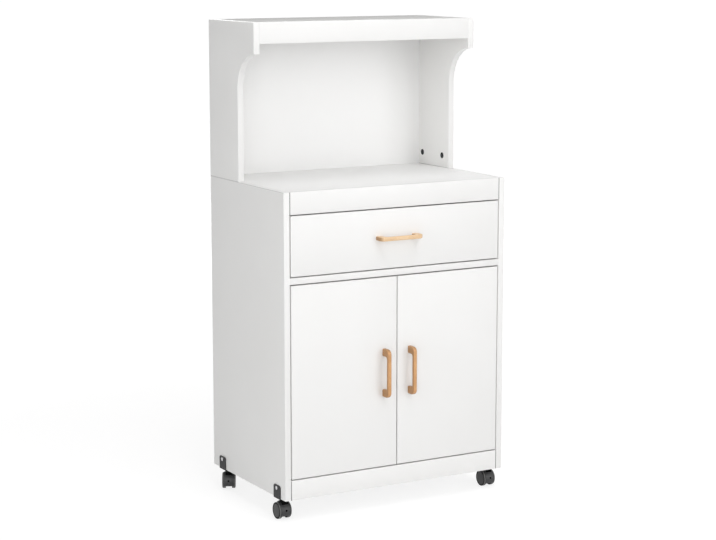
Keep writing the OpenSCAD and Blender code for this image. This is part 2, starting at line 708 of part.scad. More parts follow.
link_r = 3;
link_v = [cup_pin_u - arm_pin_u, cup_pin_v - arm_pin_v];
link_l = norm(link_v);

// Pair of link plates with the arm's pin through them and the cup's pins on their outer faces
module hinge_link() {
    for (s = [-1, 1]) translate([arm_pin_u, arm_pin_v, s * (arm_w / 2 + side_play + link_t / 2)]) {
        for (p = [0, 1]) translate(p * [link_v[0], link_v[1], 0])
            cylinder(r = link_r, h = link_t, center = true);
        rotate([0, 0, atan2(link_v[1], link_v[0])]) translate([0, -link_r, -link_t / 2])
            cube([link_l, 2 * link_r, link_t]);
    }
    translate([arm_pin_u, arm_pin_v, 0])
        cylinder(d = hinge_pin_d, h = arm_w + 2 * side_play + 2 * link_t, center = true);
    for (s = [-1, 1]) translate([cup_pin_u, cup_pin_v, s * (cheek_in + cheek_w) / 2 + s * arm_w / 4])
        cylinder(d = hinge_pin_d, h = cheek_in + cheek_w - arm_w / 2, center = true);
}
module left_hinge_links() color(steel) at_left_hinges() hinge_link();
module right_hinge_links() color(steel) mirror([1, 0, 0]) at_left_hinges() hinge_link();

arm_tip_t = 3.4;
arm_body_w = 16;
arm_body_t = 6;
arm_wall = 2;
arm_screw_d = 8;
arm_screw_v = [16, 40];                             // adjusting screws, behind the crank
tip_in = 0.4;                                       // the tip's inner face, short of the pin's axis
rail_half = 6;
rail_back = 14;                                     // the plate's rail starts this far behind the crank

// Fixed arm: its tip reaches into the cup, its crank runs back to the mounting plate
module hinge_arm() {
    difference() {
        translate([0, 0, -arm_w / 2]) union() {
            translate([arm_pin_u, arm_pin_v, 0]) cylinder(r = cheek_r, h = arm_w);
            box_between([arm_pin_u - tip_in, arm_pin_v, 0],
                [arm_pin_u - tip_in + arm_tip_t, crank_v + arm_tip_t, arm_w]);
            box_between([arm_u, crank_v, 0], [arm_pin_u, crank_v + arm_tip_t, arm_w]);
        }
        translate([arm_pin_u, arm_pin_v, 0])
            cylinder(d = hinge_pin_d + 2 * hinge_play, h = arm_w + 2 * e, center = true);
    }
    difference() {
        box_between([arm_u, crank_v, -arm_body_w / 2],
            [arm_u + arm_body_t, crank_v + arm_l, arm_body_w / 2]);
        box_between([arm_u + arm_wall, crank_v + arm_tip_t, -arm_body_w / 2 + arm_wall],
            [arm_u + arm_body_t + e, crank_v + arm_l + e, arm_body_w / 2 - arm_wall]);
    }
    for (v = arm_screw_v) translate([arm_u + arm_wall, crank_v + v, 0]) along_x() difference() {
        cylinder(d = arm_screw_d, h = arm_wall + 1);
        for (a = [0, 90]) rotate([0, 0, a]) translate([-arm_screw_d / 3, -slot_w / 2, arm_wall - 0.4])
            cube([2 * arm_screw_d / 3, slot_w, 2]);
    }
}
module hinge_arms() color(steel) both_sides() at_left_hinges() hinge_arm();

plate_t = 2;
plate_half = 9;
plate_end = 7;
module mounting_plate() difference() {
    union() {
        box_between([0, plate_v - plate_half, -plate_screw_pitch / 2 - plate_end],
            [plate_t, plate_v + plate_half, plate_screw_pitch / 2 + plate_end]);
        box_between([0, crank_v + rail_back, -rail_half], [arm_u, crank_v + arm_l, rail_half]);
    }
    for (s = [-1, 1]) translate([0, plate_v, s * plate_screw_pitch / 2]) along_x()
        through_bore(screw_d, plate_t);
}
module hinge_mounting_plates() color(steel) both_sides() at_left_hinges() mounting_plate();

module carcass_screws() color(steel) both_sides() {
    for (y = runner_screw_y) translate([x_web, y_box + y, z_box + screw_low]) rotate([0, -90, 0])
        pan_screw(screw_d, runner_t + screw_bite, screw_head);
    for (z = hinge_z, s = [-1, 1])
        translate([x_in - plate_t, y_front + plate_v, z + s * plate_screw_pitch / 2]) rotate([0, -90, 0])
            pan_screw(screw_d, plate_t + screw_bite, wide_head);
}

// ---- casters ----

bracket_r = 6;                                      // rounding of a bracket's upper corners

// Plate of a bracket, drawn with its lower edge on y = 0
module bracket_outline() {
    h = z_base + bracket_h - z_leg;
    translate([-bracket_w / 2, 0]) square([bracket_w, h - bracket_r]);
    translate([-bracket_w / 2 + bracket_r, 0]) square([bracket_w - 2 * bracket_r, h]);
    for (s = [-1, 1]) translate([s * (bracket_w / 2 - bracket_r), h - bracket_r])
        circle(r = bracket_r, $fn = 64);
}

// Angle bracket of the right-hand casters: a plate on the side panel, a leg under it and the swivel pin
module caster_bracket(y) difference() {
    union() {
        translate([x_out, y, z_leg]) rotate([90, 0, 90]) linear_extrude(bracket_t) bracket_outline();
        box_between([caster_x - leg_past, y - bracket_w / 2, z_leg],
            [x_out + bracket_t, y + bracket_w / 2, z_base]);
        translate([caster_x, y, z_leg - kingpin_l]) cylinder(d = kingpin_d, h = kingpin_l + bracket_t / 2);
    }
    translate([x_out, y, bracket_screw_z]) along_x() through_bore(screw_d, bracket_t);
    translate([x_in + board_t / 2, y + leg_screw_y, z_leg]) through_bore(screw_d, bracket_t);
}
module caster_brackets() color(black) both_sides() for (y = caster_y) caster_bracket(y);

module caster_screws() color(steel) both_sides() for (y = caster_y) {
    translate([x_out + bracket_t, y, bracket_screw_z]) along_x()
        pan_screw(screw_d, bracket_t + screw_bite, bracket_head);
    translate([x_in + board_t / 2, y + leg_screw_y, z_leg]) mirror([0, 0, 1])
        pan_screw(screw_d, bracket_t + screw_bite, screw_head);
}

boss_d = 15;
boss_low = 3;                                       // the boss starts this far below the hood's top
hood_low = 9;                                       // the hood's lower edge, above the floor
hood_past = 5;                                      // how far the cover runs behind the axle
web_past = 13;                                      // how far the web runs behind the axle
shoulder_r = min(1.4, hood_t - 0.1);                // rounding of the cover's sides, limited by its wall
mark_d = 4;                                         // the small hole in the cover's front
mark_z = 23;
mark_deep = 3.5;
z_boss = wheel_r + hood_r - boss_low;

module on_axle() translate([0, caster_trail, wheel_r]) rotate([0, 90, 0]) children();

// Cover over the inner part of both wheels, its shoulders rounded
module cover_shape() on_axle() rotate_extrude($fn = 96) {
    translate([0, -cover_w / 2]) square([hood_r - shoulder_r, cover_w]);
    translate([0, -cover_w / 2 + shoulder_r]) square([hood_r, cover_w - 2 * shoulder_r]);
    for (s = [-1, 1]) translate([hood_r - shoulder_r, s * (cover_w / 2 - shoulder_r)])
        circle(r = shoulder_r, $fn = 32);
}

// Swivelling hood: a web between the wheels, a cover in front of and above them, and the pin's boss
module hood() difference() {
    union() {
        difference() {
            cover_shape();
            box_between([-pair_w, caster_trail + hood_past, -e], [pair_w, caster_trail + 2 * hood_r, z_leg]);
        }
        difference() {
            on_axle() cylinder(r = hood_r - hood_t / 2, h = web_w, center = true, $fn = 96);
            box_between([-pair_w, caster_trail + web_past, -e], [pair_w, caster_trail + 2 * hood_r, z_leg]);
        }
        box_between([-web_w / 2, -web_w / 2, z_boss - 4], [web_w / 2, web_w / 2, z_boss + e]);
        translate([0, 0, z_boss]) cylinder(d = boss_d, h = z_leg - swivel_play - z_boss);
    }
    box_between([-pair_w, -2 * hood_r, -hood_r], [pair_w, 3 * hood_r, hood_low]);
    for (s = [-1, 1]) translate([s * (web_w / 2 + wheel_w), 0, 0]) on_axle()
        cylinder(r = hood_r - hood_t, h = 2 * wheel_w, center = true, $fn = 96);
    on_axle() cylinder(d = axle_d + 2 * turn_play, h = web_w + 2 * e, center = true);
    translate([0, 0, z_leg - kingpin_l - end_play])
        cylinder(d = kingpin_d + 2 * turn_play, h = kingpin_l + 2 * e);
    translate([0, caster_trail - hood_r - e, mark_z]) along_y() cylinder(d = mark_d, h = mark_deep + e);
}

axle_in = wheel_w - 2.5;                            // length of the axle inside each wheel
module wheel_axle() on_axle() cylinder(d = axle_d, h = wheel_gap + 2 * axle_in, center = true);

wheel_edge = 2;
ring_in = 6;                                        // from the wheel's rim to the ring in its outer face
ring_w = 1.5;
ring_d = 0.8;
// Two wheels on one axle, each with rounded edges and a shallow ring in its outer face
module wheel_pair() for (s = [0, 1]) on_axle() mirror([0, 0, s]) translate([0, 0, wheel_gap / 2])
    rotate_extrude($fn = 96) difference() {
        union() {
            square([wheel_r - wheel_edge, wheel_w]);
            translate([0, wheel_edge]) square([wheel_r, wheel_w - 2 * wheel_edge]);
            for (z = [wheel_edge, wheel_w - wheel_edge]) translate([wheel_r - wheel_edge, z])
                circle(r = wheel_edge, $fn = 32);
        }
        translate([-e, -e]) square([axle_d / 2 + e, axle_in + e]);
        translate([wheel_r - ring_in, wheel_w - ring_d]) square([ring_w, ring_d + e]);
    }

module at_caster(side, y, turn) translate([side * caster_x, y, 0]) rotate([0, 0, turn]) children();

module front_left_hood() color(black) at_caster(-1, caster_y[0], 0) hood();
module front_left_axle() color(steel) at_caster(-1, caster_y[0], 0) wheel_axle();
module front_left_wheels() color(black) at_caster(-1, caster_y[0], 0) wheel_pair();
module front_right_hood() color(black) at_caster(1, caster_y[0], 0) hood();
module front_right_axle() color(steel) at_caster(1, caster_y[0], 0) wheel_axle();
module front_right_wheels() color(black) at_caster(1, caster_y[0], 0) wheel_pair();
module rear_left_hood() color(black) at_caster(-1, caster_y[1], rear_swivel) hood();
module rear_left_axle() color(steel) at_caster(-1, caster_y[1], rear_swivel) wheel_axle();
module rear_left_wheels() color(black) at_caster(-1, caster_y[1], rear_swivel) wheel_pair();
module rear_right_hood() color(black) at_caster(1, caster_y[1], -rear_swivel) hood();
module rear_right_axle() color(steel) at_caster(1, caster_y[1], -rear_swivel) wheel_axle();
module rear_right_wheels() color(black) at_caster(1, caster_y[1], -rear_swivel) wheel_pair();

left_side_panel();
right_side_panel();
worktop();
worktop_rail();
divider_panel();
cupboard_shelf();
shelf_pins();
bottom_panel();
plinth_rail();
cabinet_back();
hutch_left_side();
hutch_right_side();
hutch_top();
hutch_fascia();
hutch_back();
cam_locks();
cam_bolts();
dowels();
left_cabinet_runner();
right_cabinet_runner();
carcass_screws();
hinge_mounting_plates();
hinge_arms();
caster_brackets();
caster_screws();
drawer_front();
drawer_left_side();
drawer_right_side();
drawer_back();
drawer_bottom();
drawer_handle();
drawer_cam_locks();
drawer_cam_bolts();
left_drawer_runner();
right_drawer_runner();
drawer_screws();
cabinet_rollers();
drawer_rollers();
left_door();
left_door_handle();
left_handle_screws();
left_hinge_cups();
left_hinge_links();
right_door();
right_door_handle();
right_handle_screws();
right_hinge_cups();
right_hinge_links();
front_left_hood();
front_left_axle();
front_left_wheels();
front_right_hood();
front_right_axle();
front_right_wheels();
rear_left_hood();
rear_left_axle();
rear_left_wheels();
rear_right_hood();
rear_right_axle();
rear_right_wheels();
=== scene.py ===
import json
import math

import bmesh
import bpy
from mathutils import Matrix, Vector


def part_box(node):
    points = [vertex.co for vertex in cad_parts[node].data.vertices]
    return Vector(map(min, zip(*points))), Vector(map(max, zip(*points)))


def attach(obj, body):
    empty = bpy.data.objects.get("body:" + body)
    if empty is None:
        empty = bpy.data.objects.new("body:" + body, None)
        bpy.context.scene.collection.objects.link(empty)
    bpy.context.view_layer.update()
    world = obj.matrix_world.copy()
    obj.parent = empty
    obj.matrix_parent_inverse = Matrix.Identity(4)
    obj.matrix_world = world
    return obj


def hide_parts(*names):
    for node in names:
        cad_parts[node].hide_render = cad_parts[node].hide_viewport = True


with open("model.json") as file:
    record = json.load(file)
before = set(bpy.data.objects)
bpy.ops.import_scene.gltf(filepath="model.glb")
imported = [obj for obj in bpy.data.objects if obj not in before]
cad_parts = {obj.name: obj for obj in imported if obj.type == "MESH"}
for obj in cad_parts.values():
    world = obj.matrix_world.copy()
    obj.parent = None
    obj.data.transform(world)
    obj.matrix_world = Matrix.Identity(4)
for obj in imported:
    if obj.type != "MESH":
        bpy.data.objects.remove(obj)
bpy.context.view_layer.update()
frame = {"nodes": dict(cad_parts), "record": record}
nodes = frame["nodes"]
bodyOf = {n: body for body, members in frame["record"]["behaviour"]["bodies"].items() for n in members}
mm = 0.001


# Finishes. Coordinates are the piece's own, in metres, so a scale of 1000 gives marks about 1 mm apart.

def startMaterial(name):
    material = bpy.data.materials.new(name)
    material.use_nodes = True
    return material, material.node_tree, material.node_tree.nodes["Principled BSDF"]


def addNode(tree, kind, feeds=None, **settings):
    node = tree.nodes.new(kind)
    for key, value in settings.items():
        setattr(node, key, value)
    for socket, source in (feeds or {}).items():
        if isinstance(source, bpy.types.NodeSocket):
            tree.links.new(source, node.inputs[socket])
        else:
            node.inputs[socket].default_value = source
    return node


def ownCoordinates(tree, stretch=(1, 1, 1)):
    own = addNode(tree, "ShaderNodeTexCoord").outputs["Object"]
    return addNode(tree, "ShaderNodeMapping", {"Vector": own, "Scale": stretch}).outputs[0]


def noise(tree, where, scale, detail=2, roughness=0.5):
    feeds = {"Vector": where, "Scale": scale, "Detail": detail, "Roughness": roughness}
    return addNode(tree, "ShaderNodeTexNoise", feeds).outputs[0]


def spread(tree, value, fromLow, fromHigh, toLow, toHigh):
    feeds = {"Value": value, "From Min": fromLow, "From Max": fromHigh, "To Min": toLow, "To Max": toHigh}
    return addNode(tree, "ShaderNodeMapRange", feeds).outputs[0]


def calculate(tree, how, *values, kind="ShaderNodeMath"):
    return addNode(tree, kind, dict(enumerate(values)), operation=how).outputs[0]


# Sockets 0, 6 and 7 of a colour mix are its share and its two colours
def blendColours(tree, share, first, second):
    mix = tree.nodes.new("ShaderNodeMix")
    mix.data_type = "RGBA"
    tree.links.new(share, mix.inputs[0])
    for index, source in ((6, first), (7, second)):
        if isinstance(source, bpy.types.NodeSocket):
            tree.links.new(source, mix.inputs[index])
        else:
            mix.inputs[index].default_value = (*source, 1)
    return mix.outputs[2]


def bump(tree, height, depth, strength, under=None):
    feeds = {"Height": height, "Distance": depth, "Strength": strength}
    if under is not None:
        feeds["Normal"] = under
    return addNode(tree, "ShaderNodeBump", feeds).outputs[0]


# Whites are (colour, shade of its clouds, roughness), painted joint shadows (width, share)
melamine = {
    "foil": ((0.835, 0.832, 0.824), (0.819, 0.815, 0.805), 0.40),
    # the side white is lighter than the foil: painted light, for faces turned to the side that take less
    # light
    "side": ((0.884, 0.881, 0.869), (0.866, 0.862, 0.848), 0.40),
    # the worktop white is lighter still: painted light for the worktop
    "top": ((0.918, 0.916, 0.910), (0.904, 0.901, 0.894), 0.52),
    "band": ((0.822, 0.819, 0.811), (0.806, 0.802, 0.792), 0.34),
    # the roof white is much darker than the foil: painted shade for the roof, with some dust
    "roof": ((0.715, 0.712, 0.703), (0.695, 0.692, 0.681), 0.70),
    # the dark lines along joints are painted shadow: a colour, with each line's width and share
    "shadow": (0.030, 0.029, 0.028), "seamShadow": (0.0013, 0.36), "railJointShadow": (0.0022, 0.88),
    "cloudScale": 3.5, "fleckScale": 420, "rubScale": 26, "rubReach": 0.05, "glint": 0.03,
    "pearlScale": 1500, "pearlDepth": 0.00003, "waveScale": 9, "waveDepth": 0.00025,
    "topShine": 0.22, "bandPearl": 0.4,
}


# White resin foil: a pearl grain that only shows in the gloss, long faint waves and slightly uneven white.
# lines are joints with a neighbour, where a shadow is painted into the white: (axis, distance from the
# origin, width, share)
def whiteBoard(name, colour, shade, roughness, pearl=1.0, shine=0.5, lines=()):
    material, tree, shader = startMaterial(name)
    where = ownCoordinates(tree)
    clouds = noise(tree, where, melamine["cloudScale"], 3)
    flecks = noise(tree, where, melamine["fleckScale"])
    white = blendColours(tree, spread(tree, clouds, 0.35, 0.7, 0, 1), colour, shade)
    white = blendColours(tree, spread(tree, flecks, 0.58, 0.75, 0, 0.35), white, shade)
    for axis, distance, width, share in lines:
        along = addNode(tree, "ShaderNodeSeparateXYZ", {0: where}).outputs[axis]
        off = calculate(tree, "SUBTRACT", calculate(tree, "ABSOLUTE", along), distance)
        # painted shadow along the joint
        jointShadow = spread(tree, calculate(tree, "ABSOLUTE", off), width * 0.75, width, share, 0)
        white = blendColours(tree, jointShadow, white, melamine["shadow"])
    tree.links.new(white, shader.inputs["Base Color"])

    grain = noise(tree, where, melamine["pearlScale"], 2, 0.6)
    waves = noise(tree, where, melamine["waveScale"], 1)
    wavy = bump(tree, waves, melamine["waveDepth"], 0.5)
    tree.links.new(bump(tree, grain, melamine["pearlDepth"], 0.35 * pearl, wavy), shader.inputs["Normal"])

    rubs = noise(tree, ownCoordinates(tree, (1, 1, 0.15)), melamine["rubScale"], 4, 0.6)
    reach, glint = melamine["rubReach"], melamine["glint"]
    rubbed = spread(tree, rubs, 0.3, 0.7, roughness - reach, roughness + reach)
    glints = spread(tree, grain, 0.3, 0.7, -glint, glint)
    tree.links.new(calculate(tree, "ADD", rubbed, glints), shader.inputs["Roughness"])
    shader.inputs["Specular IOR Level"].default_value = shine
    return material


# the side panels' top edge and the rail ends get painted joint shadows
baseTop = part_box("right_side_panel")[1].z
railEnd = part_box("worktop_rail")[1].x
foil = whiteBoard("melamineFoil", *melamine["foil"])
# side panels and hutch sides take the lighter side white: painted light
sideFoil = whiteBoard("sideFoil", *melamine["side"], lines=[("Z", baseTop, *melamine["seamShadow"])])
railFoil = whiteBoard("railFoil", *melamine["foil"], lines=[("X", railEnd, *melamine["railJointShadow"])])
# the worktop takes the lighter top white: painted light
litTopFoil = whiteBoard("worktopFoil", *melamine["top"], shine=melamine["topShine"])
# the roof is dull, and its white is greyed: painted shade, with the dust that settles there
roofFoil = whiteBoard("roofFoil", *melamine["roof"], shine=0.0)
band = whiteBoard("edgeBand", *melamine["band"], pearl=melamine["bandPearl"])


# Thin panels: white lacquer on the face, plain pressed fibre with a fine mesh mark behind
hardboard = {
    # the face is a lighter white than the foil: partly its own lacquer, partly painted light for the shaded
    # hutch back
    "face": ((0.955, 0.953, 0.949), (0.945, 0.942, 0.936), 0.36), "facePearl": 0.6,
    "rear": (0.62, 0.60, 0.56), "rearShade": (0.52, 0.49, 0.44), "rearRoughness": 0.7,
    "fibreScale": 700, "cloudScale": 9, "meshScale": 900, "meshDepth": 0.0001,
}


def hardboardRear():
    material, tree, shader = startMaterial("hardboardRear")
    where = ownCoordinates(tree)
    fibres = noise(tree, ownCoordinates(tree, (1, 1, 0.35)), hardboard["fibreScale"], 5, 0.7)
    clouds = noise(tree, where, hardboard["cloudScale"], 4, 0.6)
    rear, shade = hardboard["rear"], hardboard["rearShade"]
    colour = blendColours(tree, spread(tree, fibres, 0.35, 0.65, 0, 1), rear, shade)
    colour = blendColours(tree, spread(tree, clouds, 0.3, 0.7, 0, 0.5), colour, rear)
    mesh = addNode(tree, "ShaderNodeTexVoronoi", {"Vector": where, "Scale": hardboard["meshScale"]})
    tree.links.new(colour, shader.inputs["Base Color"])
    shader.inputs["Roughness"].default_value = hardboard["rearRoughness"]
    tree.links.new(bump(tree, mesh.outputs["Distance"], hardboard["meshDepth"], 0.5), shader.inputs["Normal"])
    return material


# the lacquered face takes the lighter white: partly painted light
litPanelFace = whiteBoard("hardboardFace", *hardboard["face"], pearl=hardboard["facePearl"])
panelRear = hardboardRear()


# Woods are (early wood, late wood, fleck, how far the sides darken as painted shade); the door wood is a
# darker copy, painted shade
beech = {
    "door": ((0.650, 0.350, 0.150), (0.500, 0.245, 0.092), (0.370, 0.165, 0.060), 0.75),
    "drawer": ((0.800, 0.575, 0.350), (0.690, 0.445, 0.240), (0.500, 0.290, 0.140), 0.12),
    # the darker brown of ends and sides: end grain with painted shade on the ends, painted shade on the sides
    "cut": (0.330, 0.165, 0.056), "endShare": 0.85, "coat": 0.25, "coatRoughness": 0.22,
    "ringScale": 160, "driftScale": 22, "drift": 0.006, "streakScale": 900, "fleckScale": 1300,
    "streakDepth": 0.00006, "apart": 7.0,
}


# Lacquered beech. The grain runs along the piece's own X; its ends (X) are darker end grain with painted
# shade, and its sides (Z) are painted darker as shade.
def beechWood(name, early, late, fleck, sideShadeShare):
    material, tree, shader = startMaterial(name)
    own = addNode(tree, "ShaderNodeTexCoord").outputs
    random = addNode(tree, "ShaderNodeObjectInfo").outputs["Random"]
    apart = calculate(tree, "MULTIPLY", random, beech["apart"])  # each handle has its own stretch of grain
    moved = calculate(tree, "ADD", own["Object"], apart, kind="ShaderNodeVectorMath")

    def along(stretch):
        return addNode(tree, "ShaderNodeMapping", {"Vector": moved, "Scale": stretch}).outputs[0]

    drift = noise(tree, along((1, 1, 1)), beech["driftScale"], 3)
    drift = calculate(tree, "MULTIPLY", drift, [beech["drift"]] * 3, kind="ShaderNodeVectorMath")
    bent = calculate(tree, "ADD", along((0.06, 1, 1)), drift, kind="ShaderNodeVectorMath")
    waves = {"Vector": bent, "Scale": beech["ringScale"], "Distortion": 3.0, "Detail": 3.0,
             "Detail Scale": 1.5, "Detail Roughness": 0.6}
    rings = addNode(tree, "ShaderNodeTexWave", waves, wave_type="BANDS", bands_direction="Y",
                    wave_profile="SAW")
    streaks = noise(tree, along((0.03, 1, 1)), beech["streakScale"], 4, 0.7)
    flecks = noise(tree, along((0.16, 1.0, 0.6)), beech["fleckScale"])
    wood = blendColours(tree, spread(tree, rings.outputs["Fac"], 0.2, 1, 0, 0.75), early, late)
    wood = blendColours(tree, spread(tree, streaks, 0.4, 0.75, 0, 0.55), wood, late)
    wood = blendColours(tree, spread(tree, flecks, 0.62, 0.72, 0, 0.6), wood, fleck)
    # ends and sides darken by the way they face: painted shade, with end grain on the ends
    facing = addNode(tree, "ShaderNodeSeparateXYZ", {0: own["Normal"]}).outputs
    for axis, share in (("X", beech["endShare"]), ("Z", sideShadeShare)):
        across = calculate(tree, "ABSOLUTE", facing[axis])
        wood = blendColours(tree, spread(tree, across, 0.45, 0.95, 0, share), wood, beech["cut"])
    tree.links.new(wood, shader.inputs["Base Color"])
    tree.links.new(spread(tree, streaks, 0.3, 0.8, 0.36, 0.5), shader.inputs["Roughness"])
    shader.inputs["Coat Weight"].default_value = beech["coat"]
    shader.inputs["Coat Roughness"].default_value = beech["coatRoughness"]
    tree.links.new(bump(tree, streaks, beech["streakDepth"], 0.5), shader.inputs["Normal"])
    return material


# the door handles take a darker copy, with their sides darkened strongly: painted shade
shadedDoorWood = beechWood("doorBeech", *beech["door"])
drawerWood = beechWood("drawerBeech", *beech["drawer"])


plainWood = {"colour": (0.60, 0.42, 0.25), "shade": (0.46, 0.30, 0.17), "roughness": 0.65,
             "fibreScale": 1100, "fibreDepth": 0.0001}


def dowelWood():
    material, tree, shader = startMaterial("dowelWood")
    fibres = noise(tree, ownCoordinates(tree, (0.05, 1, 1)), plainWood["fibreScale"], 4, 0.7)
    colour = blendColours(tree, fibres, plainWood["colour"], plainWood["shade"])
    tree.links.new(colour, shader.inputs["Base Color"])
    tree.links.new(bump(tree, fibres, plainWood["fibreDepth"], 0.6), shader.inputs["Normal"])
    shader.inputs["Roughness"].default_value = plainWood["roughness"]
    return material


metalLook = {"cloudScale": 60, "darker": 0.82, "uneven": 0.08}
plasticLook = {"cloudScale": 90, "lighter": 1.25, "uneven": 0.06, "softDepth": 0.002}


# Fine lines in the gloss, and clouds of a darker tone
def metal(name, colour, roughness, brushed=(1, 1, 1), scale=700, depth=0.00002):
    material, tree, shader = startMaterial(name)
    lines = noise(tree, ownCoordinates(tree, brushed), scale, 4, 0.65)
    clouds = noise(tree, ownCoordinates(tree), metalLook["cloudScale"], 3)
    darker = tuple(c * metalLook["darker"] for c in colour)
    blend = blendColours(tree, spread(tree, clouds, 0.35, 0.7, 0, 0.7), colour, darker)
    uneven = metalLook["uneven"]
    gloss = spread(tree, lines, 0.3, 0.7, roughness - uneven, roughness + uneven)
    tree.links.new(blend, shader.inputs["Base Color"])
    tree.links.new(gloss, shader.inputs["Roughness"])
    tree.links.new(bump(tree, lines, depth, 0.5), shader.inputs["Normal"])
    shader.inputs["Metallic"].default_value = 1.0
    return material


# A pebbled skin, with clouds of a lighter tone or of dust
def plastic(name, colour, roughness, grainScale=1800, grainDepth=0.00004, softness=0.0, dust=0.0, shine=0.5):
    material, tree, shader = startMaterial(name)
    where = ownCoordinates(tree)
    grain = noise(tree, where, grainScale, 3, 0.6)
    clouds = noise(tree, where, plasticLook["cloudScale"], 3)
    lighter = tuple(min(1, c * plasticLook["lighter"] + dust) for c in colour)
    blend = blendColours(tree, spread(tree, clouds, 0.35, 0.75, 0, 1), colour, lighter)
    uneven = plasticLook["uneven"]
    gloss = spread(tree, grain, 0.3, 0.7, roughness - uneven, roughness + uneven)
    tree.links.new(blend, shader.inputs["Base Color"])
    tree.links.new(gloss, shader.inputs["Roughness"])
    tree.links.new(bump(tree, grain, grainDepth, 0.5), shader.inputs["Normal"])
    shader.inputs["Specular IOR Level"].default_value = shine
    shader.inputs["Subsurface Weight"].default_value = softness
    shader.inputs["Subsurface Scale"].default_value = plasticLook["softDepth"]
    return material


# Colour and roughness
hardware = {
    "nickel": ((0.60, 0.59, 0.57), 0.28), "zinc": ((0.055, 0.055, 0.058), 0.50),
    "screw": ((0.66, 0.66, 0.67), 0.26), "nylon": ((0.78, 0.77, 0.73), 0.42),
    "coat": ((0.74, 0.73, 0.69), 0.36), "shell": ((0.034, 0.034, 0.035), 0.40),
    "cap": ((0.020, 0.020, 0.021), 0.40), "tyre": ((0.006, 0.006, 0.006), 0.60),
    "tread": ((0.130, 0.129, 0.127), 0.50), "boss": ((0.004, 0.004, 0.004), 0.65),
    "powder": ((0.013, 0.013, 0.014), 0.50),
}
nickel = metal("nickelledSteel", *hardware["nickel"], brushed=(0.2, 1, 1))
zinc = metal("castZinc", *hardware["zinc"], scale=1100, depth=0.00006)
screwSteel = metal("screwSteel", *hardware["screw"], scale=1500)
nylon = plastic("whiteNylon", *hardware["nylon"], softness=0.15)
runnerCoat = plastic("runnerCoating", *hardware["coat"], 1100, 0.00003)
shell = plastic("blackShell", *hardware["shell"], 2600, 0.00005, dust=0.004, shine=0.4)
wheelCap = plastic("blackWheelCap", *hardware["cap"], 2600, 0.00003, dust=0.003, shine=0.4)
tyreSide = plastic("blackTyreSide", *hardware["tyre"], 1500, 0.00006, shine=0.12)
tread = plastic("greyTread", *hardware["tread"], 1300, 0.00008, dust=0.02)
# the boss, ribs and collar under the bracket are a deeper black with little gloss, partly painted shade; the
# walls of the bores and the mark take it too, as painted shade in those hollows
boss = plastic("blackBoss", *hardware["boss"], 1500, 0.00006, shine=0.08)
powder = plastic("blackPowderCoat", *hardware["powder"], 1300, 0.00009, dust=0.002, shine=0.3)
dowelFinish = dowelWood()
print("finishes:", len(bpy.data.materials))


# Making, shaping and placing pieces

# Shows a mesh in place of a node, on the node's body
def makePiece(node, kind, mesh, materials, smoothTo=35, place=Matrix.Identity(4)):
    piece = bpy.data.objects.new(node + kind, mesh)
    bpy.context.scene.collection.objects.link(piece)
    for material in materials:
        mesh.materials.append(material)
    mesh.shade_smooth()
    mesh.set_sharp_from_angle(angle=math.radians(smoothTo))
    piece.matrix_world = place
    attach(piece, bodyOf[node])
    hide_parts(node)
    return piece


def refinish(names, material):
    for name in names:
        slots = nodes[name].data.materials
        slots.clear()
        slots.append(material)


easing = {"segments": 2, "sharp": 50, "weld": 0.002, "bracket": 0.6, "hinge": 0.2}


def easeEdges(piece, width):
    bevel = piece.modifiers.new("ease", "BEVEL")
    bevel.width, bevel.segments = width * mm, easing["segments"]
    bevel.limit_method, bevel.angle_limit = "ANGLE", math.radians(easing["sharp"])
    bevel.harden_normals = True
    return bevel


# Eases machined or pressed nodes by modifiers, so their own meshes stay untouched
def easeNodes(names, width):
    for name in names:
        weld = nodes[name].modifiers.new("weld", "WELD")
        weld.merge_threshold = easing["weld"] * mm
        easeEdges(nodes[name], width).use_clamp_overlap = False


def meshFrom(shape, name):
    mesh = bpy.data.meshes.new(name)
    shape.to_mesh(mesh)
    shape.free()
    return mesh


# Solid from an outline that lies across an axis, between two heights along it
def extruded(outline, axis, low, high):
    a, b = [i for i in range(3) if i != axis]
    shape = bmesh.new()
    rims = []
    for height in (low, high):
        rim = []
        for point in outline:
            at = [0, 0, 0]
            at[a], at[b], at[axis] = point[0], point[1], height
            rim.append(shape.verts.new(at))
        rims.append(rim)
        shape.faces.new(rim)
    for k in range(len(outline)):
        j = (k + 1) % len(outline)
        shape.faces.new((rims[0][k], rims[0][j], rims[1][j], rims[1][k]))
    bmesh.ops.recalc_face_normals(shape, faces=shape.faces)
    return shape


# Round cutter along an axis, for a pocket or a bore
def roundCutter(axis, centre, diameter, low, high, steps=48):
    outline = []
    for k in range(steps):
        turn = 2 * math.pi * k / steps
        outline.append((centre[0] + diameter / 2 * math.cos(turn), centre[1] + diameter / 2 * math.sin(turn)))
    return meshFrom(extruded(outline, axis, low, high), "cutter")


# The first mesh with the others joined to it, then the cutters' space taken out; cut faces take one slot
def carve(meshes, cutters, cutSlot=0):
    held = bpy.data.objects.new("held", meshes[0])
    bpy.context.scene.collection.objects.link(held)
    for cutter in cutters:
        for face in cutter.polygons:
            face.material_index = cutSlot
    tools = []
    for how, group in (("UNION", meshes[1:]), ("DIFFERENCE", cutters)):
        for mesh in group:
            tool = bpy.data.objects.new("tool", mesh)
            bpy.context.scene.collection.objects.link(tool)
            step = held.modifiers.new("step", "BOOLEAN")
            step.operation, step.solver, step.object = how, "EXACT", tool
            tools.append(tool)
    done = bpy.data.meshes.new_from_object(held.evaluated_get(bpy.context.evaluated_depsgraph_get()))
    name = meshes[0].name
    for thing in tools + [held]:
        old = thing.data
        bpy.data.objects.remove(thing)
        bpy.data.meshes.remove(old)
    done.name = name
    return done


